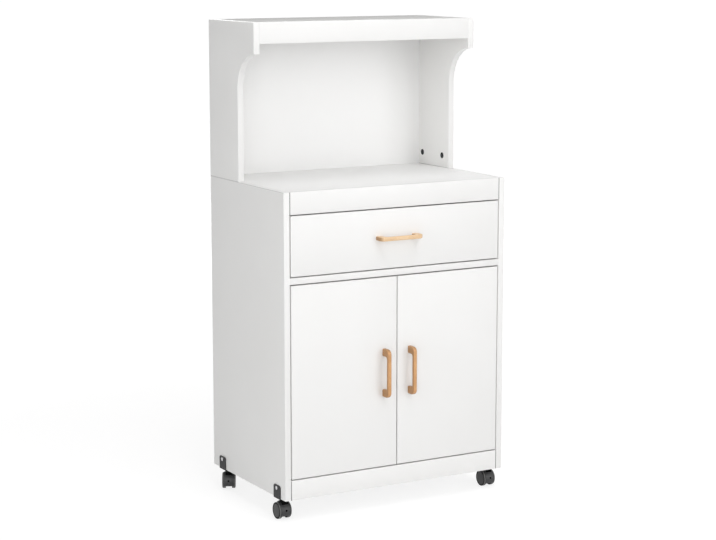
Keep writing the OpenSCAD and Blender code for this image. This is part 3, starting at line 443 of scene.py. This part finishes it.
# Boards
boardEdge = {"radius": 0.6, "fitted": 0.3, "drawer": 0.4, "panel": 0.2, "segments": 3, "sharp": 40,
             "flat": 0.9}
spare = 1 * mm  # how far a cutter stands out of the board


# A board with eased edges: its faces take slot 0, its edges slot 1
def boardMesh(name, outline, axis, low, high, radius):
    shape = extruded(outline, axis, low, high)
    sharp = [e for e in shape.edges if e.calc_face_angle(0) > math.radians(boardEdge["sharp"])]
    bmesh.ops.bevel(shape, geom=sharp, offset=radius, offset_type="OFFSET", segments=boardEdge["segments"],
                    profile=0.5, affect="EDGES", clamp_overlap=True)
    for face in shape.faces:
        face.material_index = 0 if abs(face.normal[axis]) > boardEdge["flat"] else 1
    return meshFrom(shape, name)


# A board as large as its node's box, or with its own outline across the axis
def makeBoard(node, axis, outline=None, pockets=(), radius=boardEdge["radius"], materials=(foil, band)):
    thick = "XYZ".index(axis)
    low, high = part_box(node)
    a, b = [i for i in range(3) if i != thick]
    if outline is None:
        outline = [(low[a], low[b]), (high[a], low[b]), (high[a], high[b]), (low[a], high[b])]
    mesh = boardMesh(node + "Board", outline, thick, low[thick], high[thick], radius * mm)
    if pockets:
        mesh = carve([mesh], [roundCutter(thick, *pocket) for pocket in pockets])
    return makePiece(node, "_board", mesh, materials)


cam = {"diameter": 15.2, "depth": 12.2, "fromSide": 30, "fromEnd": 60, "fromRear": (30, 124), "rise": 30}


# Pockets for the cam locks in the underside of a level board, at its left and right in each row
def levelPockets(node, rows):
    low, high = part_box(node)
    across = high.x - cam["fromSide"] * mm
    heights = (low.z - spare, low.z + cam["depth"] * mm)
    return [((side * across, y), cam["diameter"] * mm, *heights) for side in (-1, 1) for y in rows]


baseLow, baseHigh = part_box("right_side_panel")
hutchLow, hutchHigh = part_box("hutch_right_side")
baseRows = [baseLow.y + cam["fromEnd"] * mm, baseHigh.y - cam["fromEnd"] * mm]
roofRows = [hutchLow.y + cam["fromEnd"] * mm, baseHigh.y - cam["fromEnd"] * mm]
fitted = boardEdge["fitted"]

for node in ("left_side_panel", "right_side_panel"):
    makeBoard(node, "X", materials=[sideFoil, band])
makeBoard("worktop", "Z", pockets=levelPockets("worktop", baseRows), radius=fitted, materials=[litTopFoil, band])
makeBoard("divider_panel", "Z", pockets=levelPockets("divider_panel", baseRows))
makeBoard("bottom_panel", "Z", pockets=levelPockets("bottom_panel", baseRows))
makeBoard("cupboard_shelf", "Z")
makeBoard("hutch_top", "Z", pockets=levelPockets("hutch_top", roofRows), materials=[roofFoil, band])
for node in ("worktop_rail", "plinth_rail"):
    makeBoard(node, "Y", radius=fitted, materials=[railFoil, band])
makeBoard("hutch_fascia", "Y", radius=fitted)
for node in ("cabinet_back", "hutch_back"):
    piece = makeBoard(node, "Y", radius=boardEdge["panel"], materials=[litPanelFace, panelRear])
    for face in piece.data.polygons:
        face.material_index = 0 if face.normal.y < -0.5 else 1
print("carcass boards")


# Hutch side: deep at the top, a hollow quarter-circle, narrow below
hutchSide = {"browHeight": 73, "neckDepth": 154, "curveSteps": 32}


def hutchOutline():
    front, rear, foot, top = hutchLow.y, hutchHigh.y, hutchLow.z, hutchHigh.z
    neck = rear - hutchSide["neckDepth"] * mm
    curve = neck - front
    brow = top - hutchSide["browHeight"] * mm
    steps = hutchSide["curveSteps"]
    points = [(rear, foot), (rear, top), (front, top)]
    for k in range(steps + 1):  # about (front, brow - curve), from the brow round to the neck
        turn = math.pi / 2 * (1 - k / steps)
        points.append((front + curve * math.cos(turn), brow - curve + curve * math.sin(turn)))
    return points + [(neck, foot)]


for side, node in ((-1, "hutch_left_side"), (1, "hutch_right_side")):
    low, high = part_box(node)
    inner = low.x if side > 0 else high.x
    depth = sorted((inner - side * spare, inner + side * cam["depth"] * mm))
    pockets = [((baseHigh.y - back * mm, baseHigh.z + cam["rise"] * mm), cam["diameter"] * mm, *depth)
               for back in cam["fromRear"]]
    makeBoard(node, "X", outline=hutchOutline(), pockets=pockets, materials=[sideFoil, band])
print("hutch sides")


# Doors and drawer
hingeCup = {"diameter": 35.2, "depth": 11.6, "edge": 21.5, "end": 80}

for side, node in ((-1, "left_door"), (1, "right_door")):
    low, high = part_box(node)
    outerEdge = high.x if side > 0 else low.x
    across = outerEdge - side * hingeCup["edge"] * mm
    depth = (high.y - hingeCup["depth"] * mm, high.y + spare)
    pockets = [((across, z), hingeCup["diameter"] * mm, *depth)
               for z in (low.z + hingeCup["end"] * mm, high.z - hingeCup["end"] * mm)]
    makeBoard(node, "Y", pockets=pockets)
makeBoard("drawer_front", "Y")

# Drawer sides: pockets for the cams of the front, and sunk heads for the screws of the back
drawerSide = {"camPocket": (12.2, 9.7), "camBack": 24, "camRise": (30, 72),
              "sunkHead": (7.2, 2.3), "screwFromRear": 6, "screwRise": (40, 78)}

for side, node in ((-1, "drawer_left_side"), (1, "drawer_right_side")):
    low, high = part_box(node)
    inner, outer = (low.x, high.x) if side > 0 else (high.x, low.x)
    wide, deep = drawerSide["camPocket"]
    along = low.y + drawerSide["camBack"] * mm
    depth = sorted((inner - side * spare, inner + side * deep * mm))
    pockets = [((along, low.z + rise * mm), wide * mm, *depth) for rise in drawerSide["camRise"]]
    wide, deep = drawerSide["sunkHead"]
    along = high.y - drawerSide["screwFromRear"] * mm
    depth = sorted((outer + side * spare, outer - side * deep * mm))
    pockets += [((along, low.z + rise * mm), wide * mm, *depth) for rise in drawerSide["screwRise"]]
    makeBoard(node, "X", pockets=pockets, radius=boardEdge["drawer"])
makeBoard("drawer_back", "Y", radius=boardEdge["drawer"])
makeBoard("drawer_bottom", "Z", radius=boardEdge["panel"], materials=[litPanelFace, litPanelFace])
print("doors and drawer")


# Bow handle of beech: block feet, rounded shoulders and a slim bar, all edges well rounded
handle = {"length": 116, "height": 27, "width": 10, "bar": 8, "foot": 18, "shoulder": 13, "inner": 7,
          "edge": 2.6, "edgeSegments": 6, "sharp": 60, "arcSteps": 14, "smoothTo": 50}


def handleOutline():
    half, height = handle["length"] / 2, handle["height"]
    gapHalf, gapHeight = half - handle["foot"], height - handle["bar"]
    points = []

    def arc(cx, cy, radius, start, end):
        for k in range(handle["arcSteps"] + 1):
            turn = math.radians(start + (end - start) * k / handle["arcSteps"])
            points.append((cx + radius * math.cos(turn), cy + radius * math.sin(turn)))

    points.append((-half, 0))
    arc(-half + handle["shoulder"], height - handle["shoulder"], handle["shoulder"], 180, 90)
    arc(half - handle["shoulder"], height - handle["shoulder"], handle["shoulder"], 90, 0)
    points.extend([(half, 0), (gapHalf, 0)])
    arc(gapHalf - handle["inner"], gapHeight - handle["inner"], handle["inner"], 0, 90)
    arc(-gapHalf + handle["inner"], gapHeight - handle["inner"], handle["inner"], 90, 180)
    points.append((-gapHalf, 0))
    return [(x * mm, y * mm) for x, y in points]


# Length along X, standing out along -Y from the face at y = 0, where the feet stay sharp
def makeHandle(node, wood, place):
    half, hair = handle["width"] / 2 * mm, 0.001 * mm
    shape = extruded([(x, -y) for x, y in handleOutline()], 2, -half, half)
    rims = [e for e in shape.edges if abs(e.verts[0].co.z - e.verts[1].co.z) < hair]
    rims = [e for e in rims if e.calc_face_angle(0) > math.radians(handle["sharp"])]
    rims = [e for e in rims if any(abs(v.co.y) >= hair for v in e.verts)]
    bmesh.ops.bevel(shape, geom=rims, offset=handle["edge"] * mm, offset_type="OFFSET",
                    segments=handle["edgeSegments"], profile=0.5, affect="EDGES", clamp_overlap=False)
    makePiece(node, "_bow", meshFrom(shape, node + "Bow"), [wood], handle["smoothTo"], place)


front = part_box("drawer_front")[0].y
level, upright = Matrix.Identity(4), Matrix.Rotation(math.pi / 2, 4, "Y")
for node, wood, turn in (("drawer_handle", drawerWood, level), ("left_door_handle", shadedDoorWood, upright),
                         ("right_door_handle", shadedDoorWood, upright)):
    low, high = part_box(node)
    middle = (low + high) / 2
    makeHandle(node, wood, Matrix.Translation((middle.x, front, middle.z)) @ turn)
print("handles")


# Hardware that keeps its own shape
corners = ("front_left", "front_right", "rear_left", "rear_right")
hinges = ["hinge_mounting_plates", "hinge_arms", "left_hinge_cups", "right_hinge_cups"]
runners = ["left_cabinet_runner", "right_cabinet_runner", "left_drawer_runner", "right_drawer_runner"]
refinish(["cam_locks", "drawer_cam_locks"], zinc)
refinish(["cam_bolts", "drawer_cam_bolts", "shelf_pins"] + [corner + "_axle" for corner in corners], nickel)
refinish(["carcass_screws", "caster_screws", "drawer_screws"], screwSteel)
refinish(["left_handle_screws", "right_handle_screws"], screwSteel)
refinish(hinges + ["left_hinge_links", "right_hinge_links"], nickel)
refinish(runners, runnerCoat)
refinish(["cabinet_rollers", "drawer_rollers"], nylon)
refinish(["dowels"], dowelFinish)
refinish(["caster_brackets"], powder)
easeNodes(["caster_brackets"], easing["bracket"])
easeNodes(hinges, easing["hinge"])
print("hardware")


# Casters. Each is drawn about its swivel pin with the axle along X, in millimetres above the floor.
caster = {"trail": 6, "axleHeight": 20, "turnSteps": 96}
wheel = {"radius": 20, "from": 7.5, "to": 16, "bore": 2.55, "boreEnd": 2.5, "hub": 6, "rim": 15.8,
         "hollow": 1.8, "innerEdge": 1.3, "tyreEdge": 2.2, "capRadius": 16.0, "dome": 0.5, "grooveDepth": 1.3,
         "treadLines": (10.2, 12.9), "lineDepth": 0.35, "lineHalves": (0.25, 0.1)}
hood = {"radius": 22.8, "inside": 20.9, "halfWidth": 13, "topHalfWidth": 11, "crown": 1.0, "edge": 0.45,
        "lowest": -28.8, "drawIn": 45, "last": 103, "ease": 0.35,
        "webHalf": 6.5, "webRadius": 21.5, "webLast": 127, "webSteps": 48, "webChamfer": 3, "bottom": 9,
        "bossRadius": 7.5, "bossFoot": 37, "flangeRadius": 9.6, "flangeThick": 2.2, "top": 50.7,
        "ribs": 6, "ribHalf": 0.7, "ribFrom": 4.5, "ribBack": 0.6, "ribSlope": 1.4,
        "pinBore": 7.1, "pinReach": (33.5, 54), "axleBore": 5.2, "axleReach": 8,
        "markWidth": 4.8, "markRise": 23, "markReach": (24, 12), "markSteps": 32,
        "collarRadius": 24.6, "collarInside": 21.5, "collarFrom": 47, "collarTo": 96, "collarEdge": 0.4,
        "collarSteps": 20,
        "collarBars": ((7.5, 1.1, 0), (1.4, 0, 0), (1.6, 0, -5.9), (1.6, 0, 5.9))}  # half width, drop, middle


# Outline with rounded corners, from (x, y, radius) points; its first and last points stay as they are
def softened(points, steps=4):
    out = []
    for k, (x, y, radius) in enumerate(points):
        here = Vector((x, y))
        if radius <= 0 or k in (0, len(points) - 1):
            out.append(here)
            continue
        before, after = Vector(points[k - 1][:2]) - here, Vector(points[k + 1][:2]) - here
        half = before.angle(after) / 2
        centre = here + (before.normalized() + after.normalized()).normalized() * radius / math.sin(half)
        start, end = (here + way.normalized() * radius / math.tan(half) - centre for way in (before, after))
        first = math.atan2(start.y, start.x)
        sweep = (math.atan2(end.y, end.x) - first + math.pi) % (2 * math.pi) - math.pi
        for step in range(steps + 1):
            turn = first + sweep * step / steps
            out.append(centre + radius * Vector((math.cos(turn), math.sin(turn))))
    return out


# Turns a profile of (along, radius) points about an axis; a point on the axis becomes one vertex
def turnProfile(shape, profile, axis, centre, slotAt=lambda along, radius: 0):
    a, b = [i for i in range(3) if i != axis]
    steps = caster["turnSteps"]
    rings = []
    for along, radius in profile:
        ring = []
        for k in range(steps if radius > 0 else 1):
            at = list(centre)
            at[axis] += along
            at[a] += radius * math.cos(2 * math.pi * k / steps)
            at[b] += radius * math.sin(2 * math.pi * k / steps)
            ring.append(shape.verts.new([c * mm for c in at]))
        rings.append(ring)
    for p, (low, high) in enumerate(zip(rings, rings[1:])):
        middle = [(profile[p][i] + profile[p + 1][i]) / 2 for i in (0, 1)]
        for k in range(steps):
            after = (k + 1) % steps
            loop = [low[k % len(low)], low[after % len(low)], high[after % len(high)], high[k % len(high)]]
            face = shape.faces.new(list(dict.fromkeys(loop)))
            face.material_index = slotAt(*middle)


def finishShape(shape, name, slot=None):
    bmesh.ops.recalc_face_normals(shape, faces=shape.faces)
    for face in shape.faces if slot else ():
        face.material_index = slot
    return meshFrom(shape, name)


def wheelSlot(along, radius):  # 0 tread, 1 side of the tyre, 2 cap
    if abs(along) > wheel["to"] - 1.6 and radius < wheel["capRadius"] + 0.1:
        return 2
    return 0 if radius > wheel["radius"] - 0.7 and abs(along) < wheel["to"] - 0.6 else 1


# Two wheels: a tyre with rounded edges and two fine tread lines, and a domed cap set in its outer face
def wheelMesh(name):
    near, far, radius, cap = wheel["from"], wheel["to"], wheel["radius"], wheel["capRadius"]
    end, hollow, groove = far - wheel["boreEnd"], near + wheel["hollow"], far - wheel["grooveDepth"]
    outline = [(end, 0, 0), (end, wheel["bore"], 0), (near, wheel["bore"], 0.2), (near, wheel["hub"], 0.5),
               (hollow, wheel["hub"] + 0.6, 0.5), (hollow, wheel["rim"] - 0.8, 0.6),
               (near + 0.1, wheel["rim"], 0.4), (near + 0.1, radius, wheel["innerEdge"])]
    wide, narrow = wheel["lineHalves"]
    low = radius - wheel["lineDepth"]
    for at in wheel["treadLines"]:
        outline += [(at - wide, radius, 0), (at - narrow, low, 0)]
        outline += [(at + narrow, low, 0), (at + wide, radius, 0)]
    outline += [(far, radius, wheel["tyreEdge"]), (far, cap + 1.5, 0.3), (groove, cap + 1.2, 0.15),
                (groove, cap + 0.3, 0.15), (far - wheel["dome"], cap, 0.4)]
    outline += [(far - wheel["dome"] * (r / cap) ** 2 * 0.85, r, 0) for r in (12.5, 9.5, 6.5, 3.5)]
    outline.append((far, 0, 0))
    profile = softened(outline)
    shape = bmesh.new()
    centre = (0, caster["trail"], caster["axleHeight"])
    for side in (-1, 1):
        turnProfile(shape, [(side * p.x, p.y) for p in profile], 0, centre, wheelSlot)
    return finishShape(shape, name)


# Part of a turned band about the axle, between two turns; halfAt gives half its width at each turn
def turnedBand(name, first, last, halfAt, inside, radius, crown, edge, steps=44, middle=0, slot=None):
    shape = bmesh.new()
    side, ease = radius - crown, 0.3 * edge
    sections = []
    for k in range(steps + 1):
        turn = first + (last - first) * k / steps
        half = halfAt(turn)
        way = Vector((0, -math.cos(math.radians(turn)), math.sin(math.radians(turn))))
        loop = [(-half, inside), (-half, side - edge), (-half + ease, side - ease), (-half + edge, side)]
        loop += [(half * t, radius - crown * t * t) for t in (-0.8, -0.65, -0.45, -0.2, 0.2, 0.45, 0.65, 0.8)]
        loop += [(half - edge, side), (half - ease, side - ease), (half, side - edge), (half, inside)]
        section = []
        for x, r in loop:
            axle = Vector((x + middle, caster["trail"], caster["axleHeight"]))
            section.append(shape.verts.new((axle + way * r) * mm))
        sections.append(section)
    count = len(sections[0])
    for low, high in zip(sections, sections[1:]):
        for i in range(count):
            j = (i + 1) % count
            shape.faces.new((low[i], low[j], high[j], high[i]))
    shape.faces.new(sections[0])
    shape.faces.new(sections[-1])
    return finishShape(shape, name, slot)


# The cover's shoulders draw in towards its top
def coverHalf(turn):
    ease = max(0.0, (turn - hood["drawIn"]) / (hood["last"] - hood["drawIn"]))
    return hood["halfWidth"] + (hood["topHalfWidth"] - hood["halfWidth"]) * ease * ease * (3 - 2 * ease)


# Web between the wheels, under the band
def hoodWeb(name):
    steps, bottom, chamfer = hood["webSteps"], hood["bottom"], hood["webChamfer"]
    outline = []
    for k in range(steps + 1):
        turn = math.radians(hood["lowest"] + (hood["webLast"] - hood["lowest"]) * k / steps)
        outline.append((caster["trail"] - hood["webRadius"] * math.cos(turn),
                        caster["axleHeight"] + hood["webRadius"] * math.sin(turn)))
    start, end = outline[0][0], outline[-1][0]
    outline += [(end, bottom + chamfer), (end - chamfer, bottom), (start + 1, bottom)]
    half = hood["webHalf"] * mm
    return meshFrom(extruded([(y * mm, z * mm) for y, z in outline], 0, -half, half), name)


# Boss of the swivel pin, with a flange on top
def hoodBoss(name):
    shape = bmesh.new()
    top, foot, r, flange = hood["top"], hood["bossFoot"], hood["bossRadius"], hood["flangeRadius"]
    low = top - hood["flangeThick"]
    profile = softened([(foot, 0, 0), (foot, r, 0), (low, r, 0.6), (low, flange, 0.5), (top, flange, 0.7),
                        (top, 0, 0)])
    turnProfile(shape, [(p.x, p.y) for p in profile], 2, (0, 0, 0))
    return finishShape(shape, name, 1)


# One of the small ribs round the boss
def hoodRib(name, turn):
    near, far = hood["ribFrom"], hood["flangeRadius"] - hood["ribBack"]
    low, high = hood["bossFoot"], hood["top"] - 1
    outline = [(near, low), (far - hood["ribSlope"], low), (far, high), (near, high)]
    half = hood["ribHalf"] * mm
    shape = extruded([(x * mm, z * mm) for x, z in outline], 1, -half, half)
    bmesh.ops.rotate(shape, verts=shape.verts, cent=(0, 0, 0), matrix=Matrix.Rotation(turn, 3, "Z"))
    return finishShape(shape, name, 1)


# Cover, web, boss, ribs and collar in one moulding, bored for the axle and the pin
def hoodMesh(name):
    trail, reach = caster["trail"] * mm, hood["axleReach"] * mm
    cover = turnedBand(name, hood["lowest"], hood["last"], coverHalf, hood["inside"], hood["radius"],
                       hood["crown"], hood["edge"])
    ribs = [hoodRib("rib", 2 * math.pi * k / hood["ribs"]) for k in range(hood["ribs"])]
    collar = [turnedBand("collar", hood["collarFrom"], hood["collarTo"], lambda turn: half,
                         hood["collarInside"], hood["collarRadius"] - drop, 0, hood["collarEdge"],
                         hood["collarSteps"], middle, 1)
              for half, drop, middle in hood["collarBars"]]
    axle = roundCutter(0, (trail, caster["axleHeight"] * mm), hood["axleBore"] * mm, -reach, reach)
    pin = roundCutter(2, (0, 0), hood["pinBore"] * mm, *[z * mm for z in hood["pinReach"]])
    mark = roundCutter(1, (0, hood["markRise"] * mm), hood["markWidth"] * mm,
                       *[(caster["trail"] - y) * mm for y in hood["markReach"]], hood["markSteps"])
    # the cut walls of the bores and the mark take the near-black slot: painted shade
    return carve([cover, hoodWeb("web"), hoodBoss("boss")] + ribs + collar, [axle, pin, mark], 1)


hoodShape, wheelShape = hoodMesh("casterHood"), wheelMesh("casterWheels")
joints = {joint["name"]: joint for joint in frame["record"]["behaviour"]["joints"]}
for corner in corners:
    pin = joints[corner + "_swivel_turn"]["pos_m"]
    way = joints[corner + "_wheel_roll"]["axis"]
    place = Matrix.Translation((pin[0], pin[1], 0)) @ Matrix.Rotation(math.atan2(way[1], way[0]), 4, "Z")
    for kind, shape, finish in (("_hood", hoodShape, [shell, boss]),
                                ("_wheels", wheelShape, [tread, tyreSide, wheelCap])):
        mesh = shape.copy()
        mesh.transform(place)
        piece = makePiece(corner + kind, "_moulding", mesh, finish)
        if kind == "_hood":
            easeEdges(piece, hood["ease"])
print("casters")


# Floor, light and camera
floorLook = {"half": 60, "below": 0.2, "colour": (0.86, 0.86, 0.86), "roughness": 0.9, "shine": 0.1,
             "seen": (0.30, 0.30, 0.30), "glow": (1.2, 3.5, 0.80, 0.97)}  # near, far, and the glow at each


# 1 for rays from the camera, in reflections and through glass
def viewRays(tree):
    path = addNode(tree, "ShaderNodeLightPath").outputs
    first = calculate(tree, "MAXIMUM", path["Is Camera Ray"], path["Is Glossy Ray"])
    return calculate(tree, "MAXIMUM", first, path["Is Transmission Ray"])


def makeFloor():
    shape = bmesh.new()
    bmesh.ops.create_grid(shape, x_segments=1, y_segments=1, size=floorLook["half"])
    mesh = meshFrom(shape, "floor")
    floor = bpy.data.objects.new("floor", mesh)
    bpy.context.scene.collection.objects.link(floor)
    floor.location.z = -floorLook["below"] * mm
    material, tree, shader = startMaterial("paleFloor")
    shader.inputs["Base Color"].default_value = (*floorLook["colour"], 1)
    shader.inputs["Roughness"].default_value = floorLook["roughness"]
    shader.inputs["Specular IOR Level"].default_value = floorLook["shine"]
    # seen by the camera and in reflections, the floor glows softly and still takes the object's shadow
    seen = addNode(tree, "ShaderNodeBsdfDiffuse", {"Color": (*floorLook["seen"], 1)}).outputs[0]
    own = ownCoordinates(tree)
    away = addNode(tree, "ShaderNodeVectorMath", {0: own}, operation="LENGTH").outputs["Value"]
    strength = spread(tree, away, *floorLook["glow"])
    glow = addNode(tree, "ShaderNodeEmission", {"Color": (1, 1, 1, 1), "Strength": strength}).outputs[0]
    both = addNode(tree, "ShaderNodeAddShader", {0: seen, 1: glow}).outputs[0]
    mix = addNode(tree, "ShaderNodeMixShader", {0: viewRays(tree), 1: shader.outputs[0], 2: both}).outputs[0]
    tree.links.new(mix, tree.nodes["Material Output"].inputs["Surface"])
    mesh.materials.append(material)


makeFloor()

lighting = {
    "world": 0.20, "aim": (0, 0, 0.6), "size": 3,
    "lamps": [  # name, place, power
        ("frontRight", (2.2, -4.6, 1.6), 60),
        ("frontLeft", (-2.6, -4.4, 1.5), 58),
        ("left", (-4.8, -1.2, 1.4), 43),
        ("above", (0, -1.2, 5.2), 74),
        ("frontHigh", (0, -3.6, 4.2), 58),
        ("right", (5.0, 0.8, 1.5), 46),
        ("rear", (1.4, 5.0, 1.6), 62),
    ],
}
world = bpy.data.worlds.new("studio")
bpy.context.scene.world = world
world.use_nodes = True
sky = world.node_tree
strength = spread(sky, viewRays(sky), 0, 1, lighting["world"], 1)
sky.nodes["Background"].inputs["Color"].default_value = (1, 1, 1, 1)
sky.links.new(strength, sky.nodes["Background"].inputs["Strength"])

for name, place, power in lighting["lamps"]:
    lamp = bpy.data.lights.new(name, "AREA")
    lamp.shape, lamp.size, lamp.energy = "SQUARE", lighting["size"], power
    holder = bpy.data.objects.new(name, lamp)
    bpy.context.scene.collection.objects.link(holder)
    holder.location = place
    holder.rotation_euler = (Vector(lighting["aim"]) - Vector(place)).to_track_quat("-Z", "Y").to_euler()

# solved from the photo, with the focal length in its pixels
view = {"place": (-2.2780, -4.0029, 1.3227), "yaw": 29.592, "down": 9.555, "focal": 1918.8,
        "photoWidth": 716, "sensor": 36}
lens = bpy.data.cameras.new("camera")
lens.sensor_width = view["sensor"]
lens.lens = view["focal"] * view["sensor"] / view["photoWidth"]
camera = bpy.data.objects.new("camera", lens)
bpy.context.scene.collection.objects.link(camera)
camera.location = view["place"]
camera.rotation_euler = (math.radians(90 - view["down"]), 0, -math.radians(view["yaw"]))
bpy.context.scene.camera = camera
bpy.context.scene.view_settings.view_transform = "Standard"
print("floor, lamps and camera")
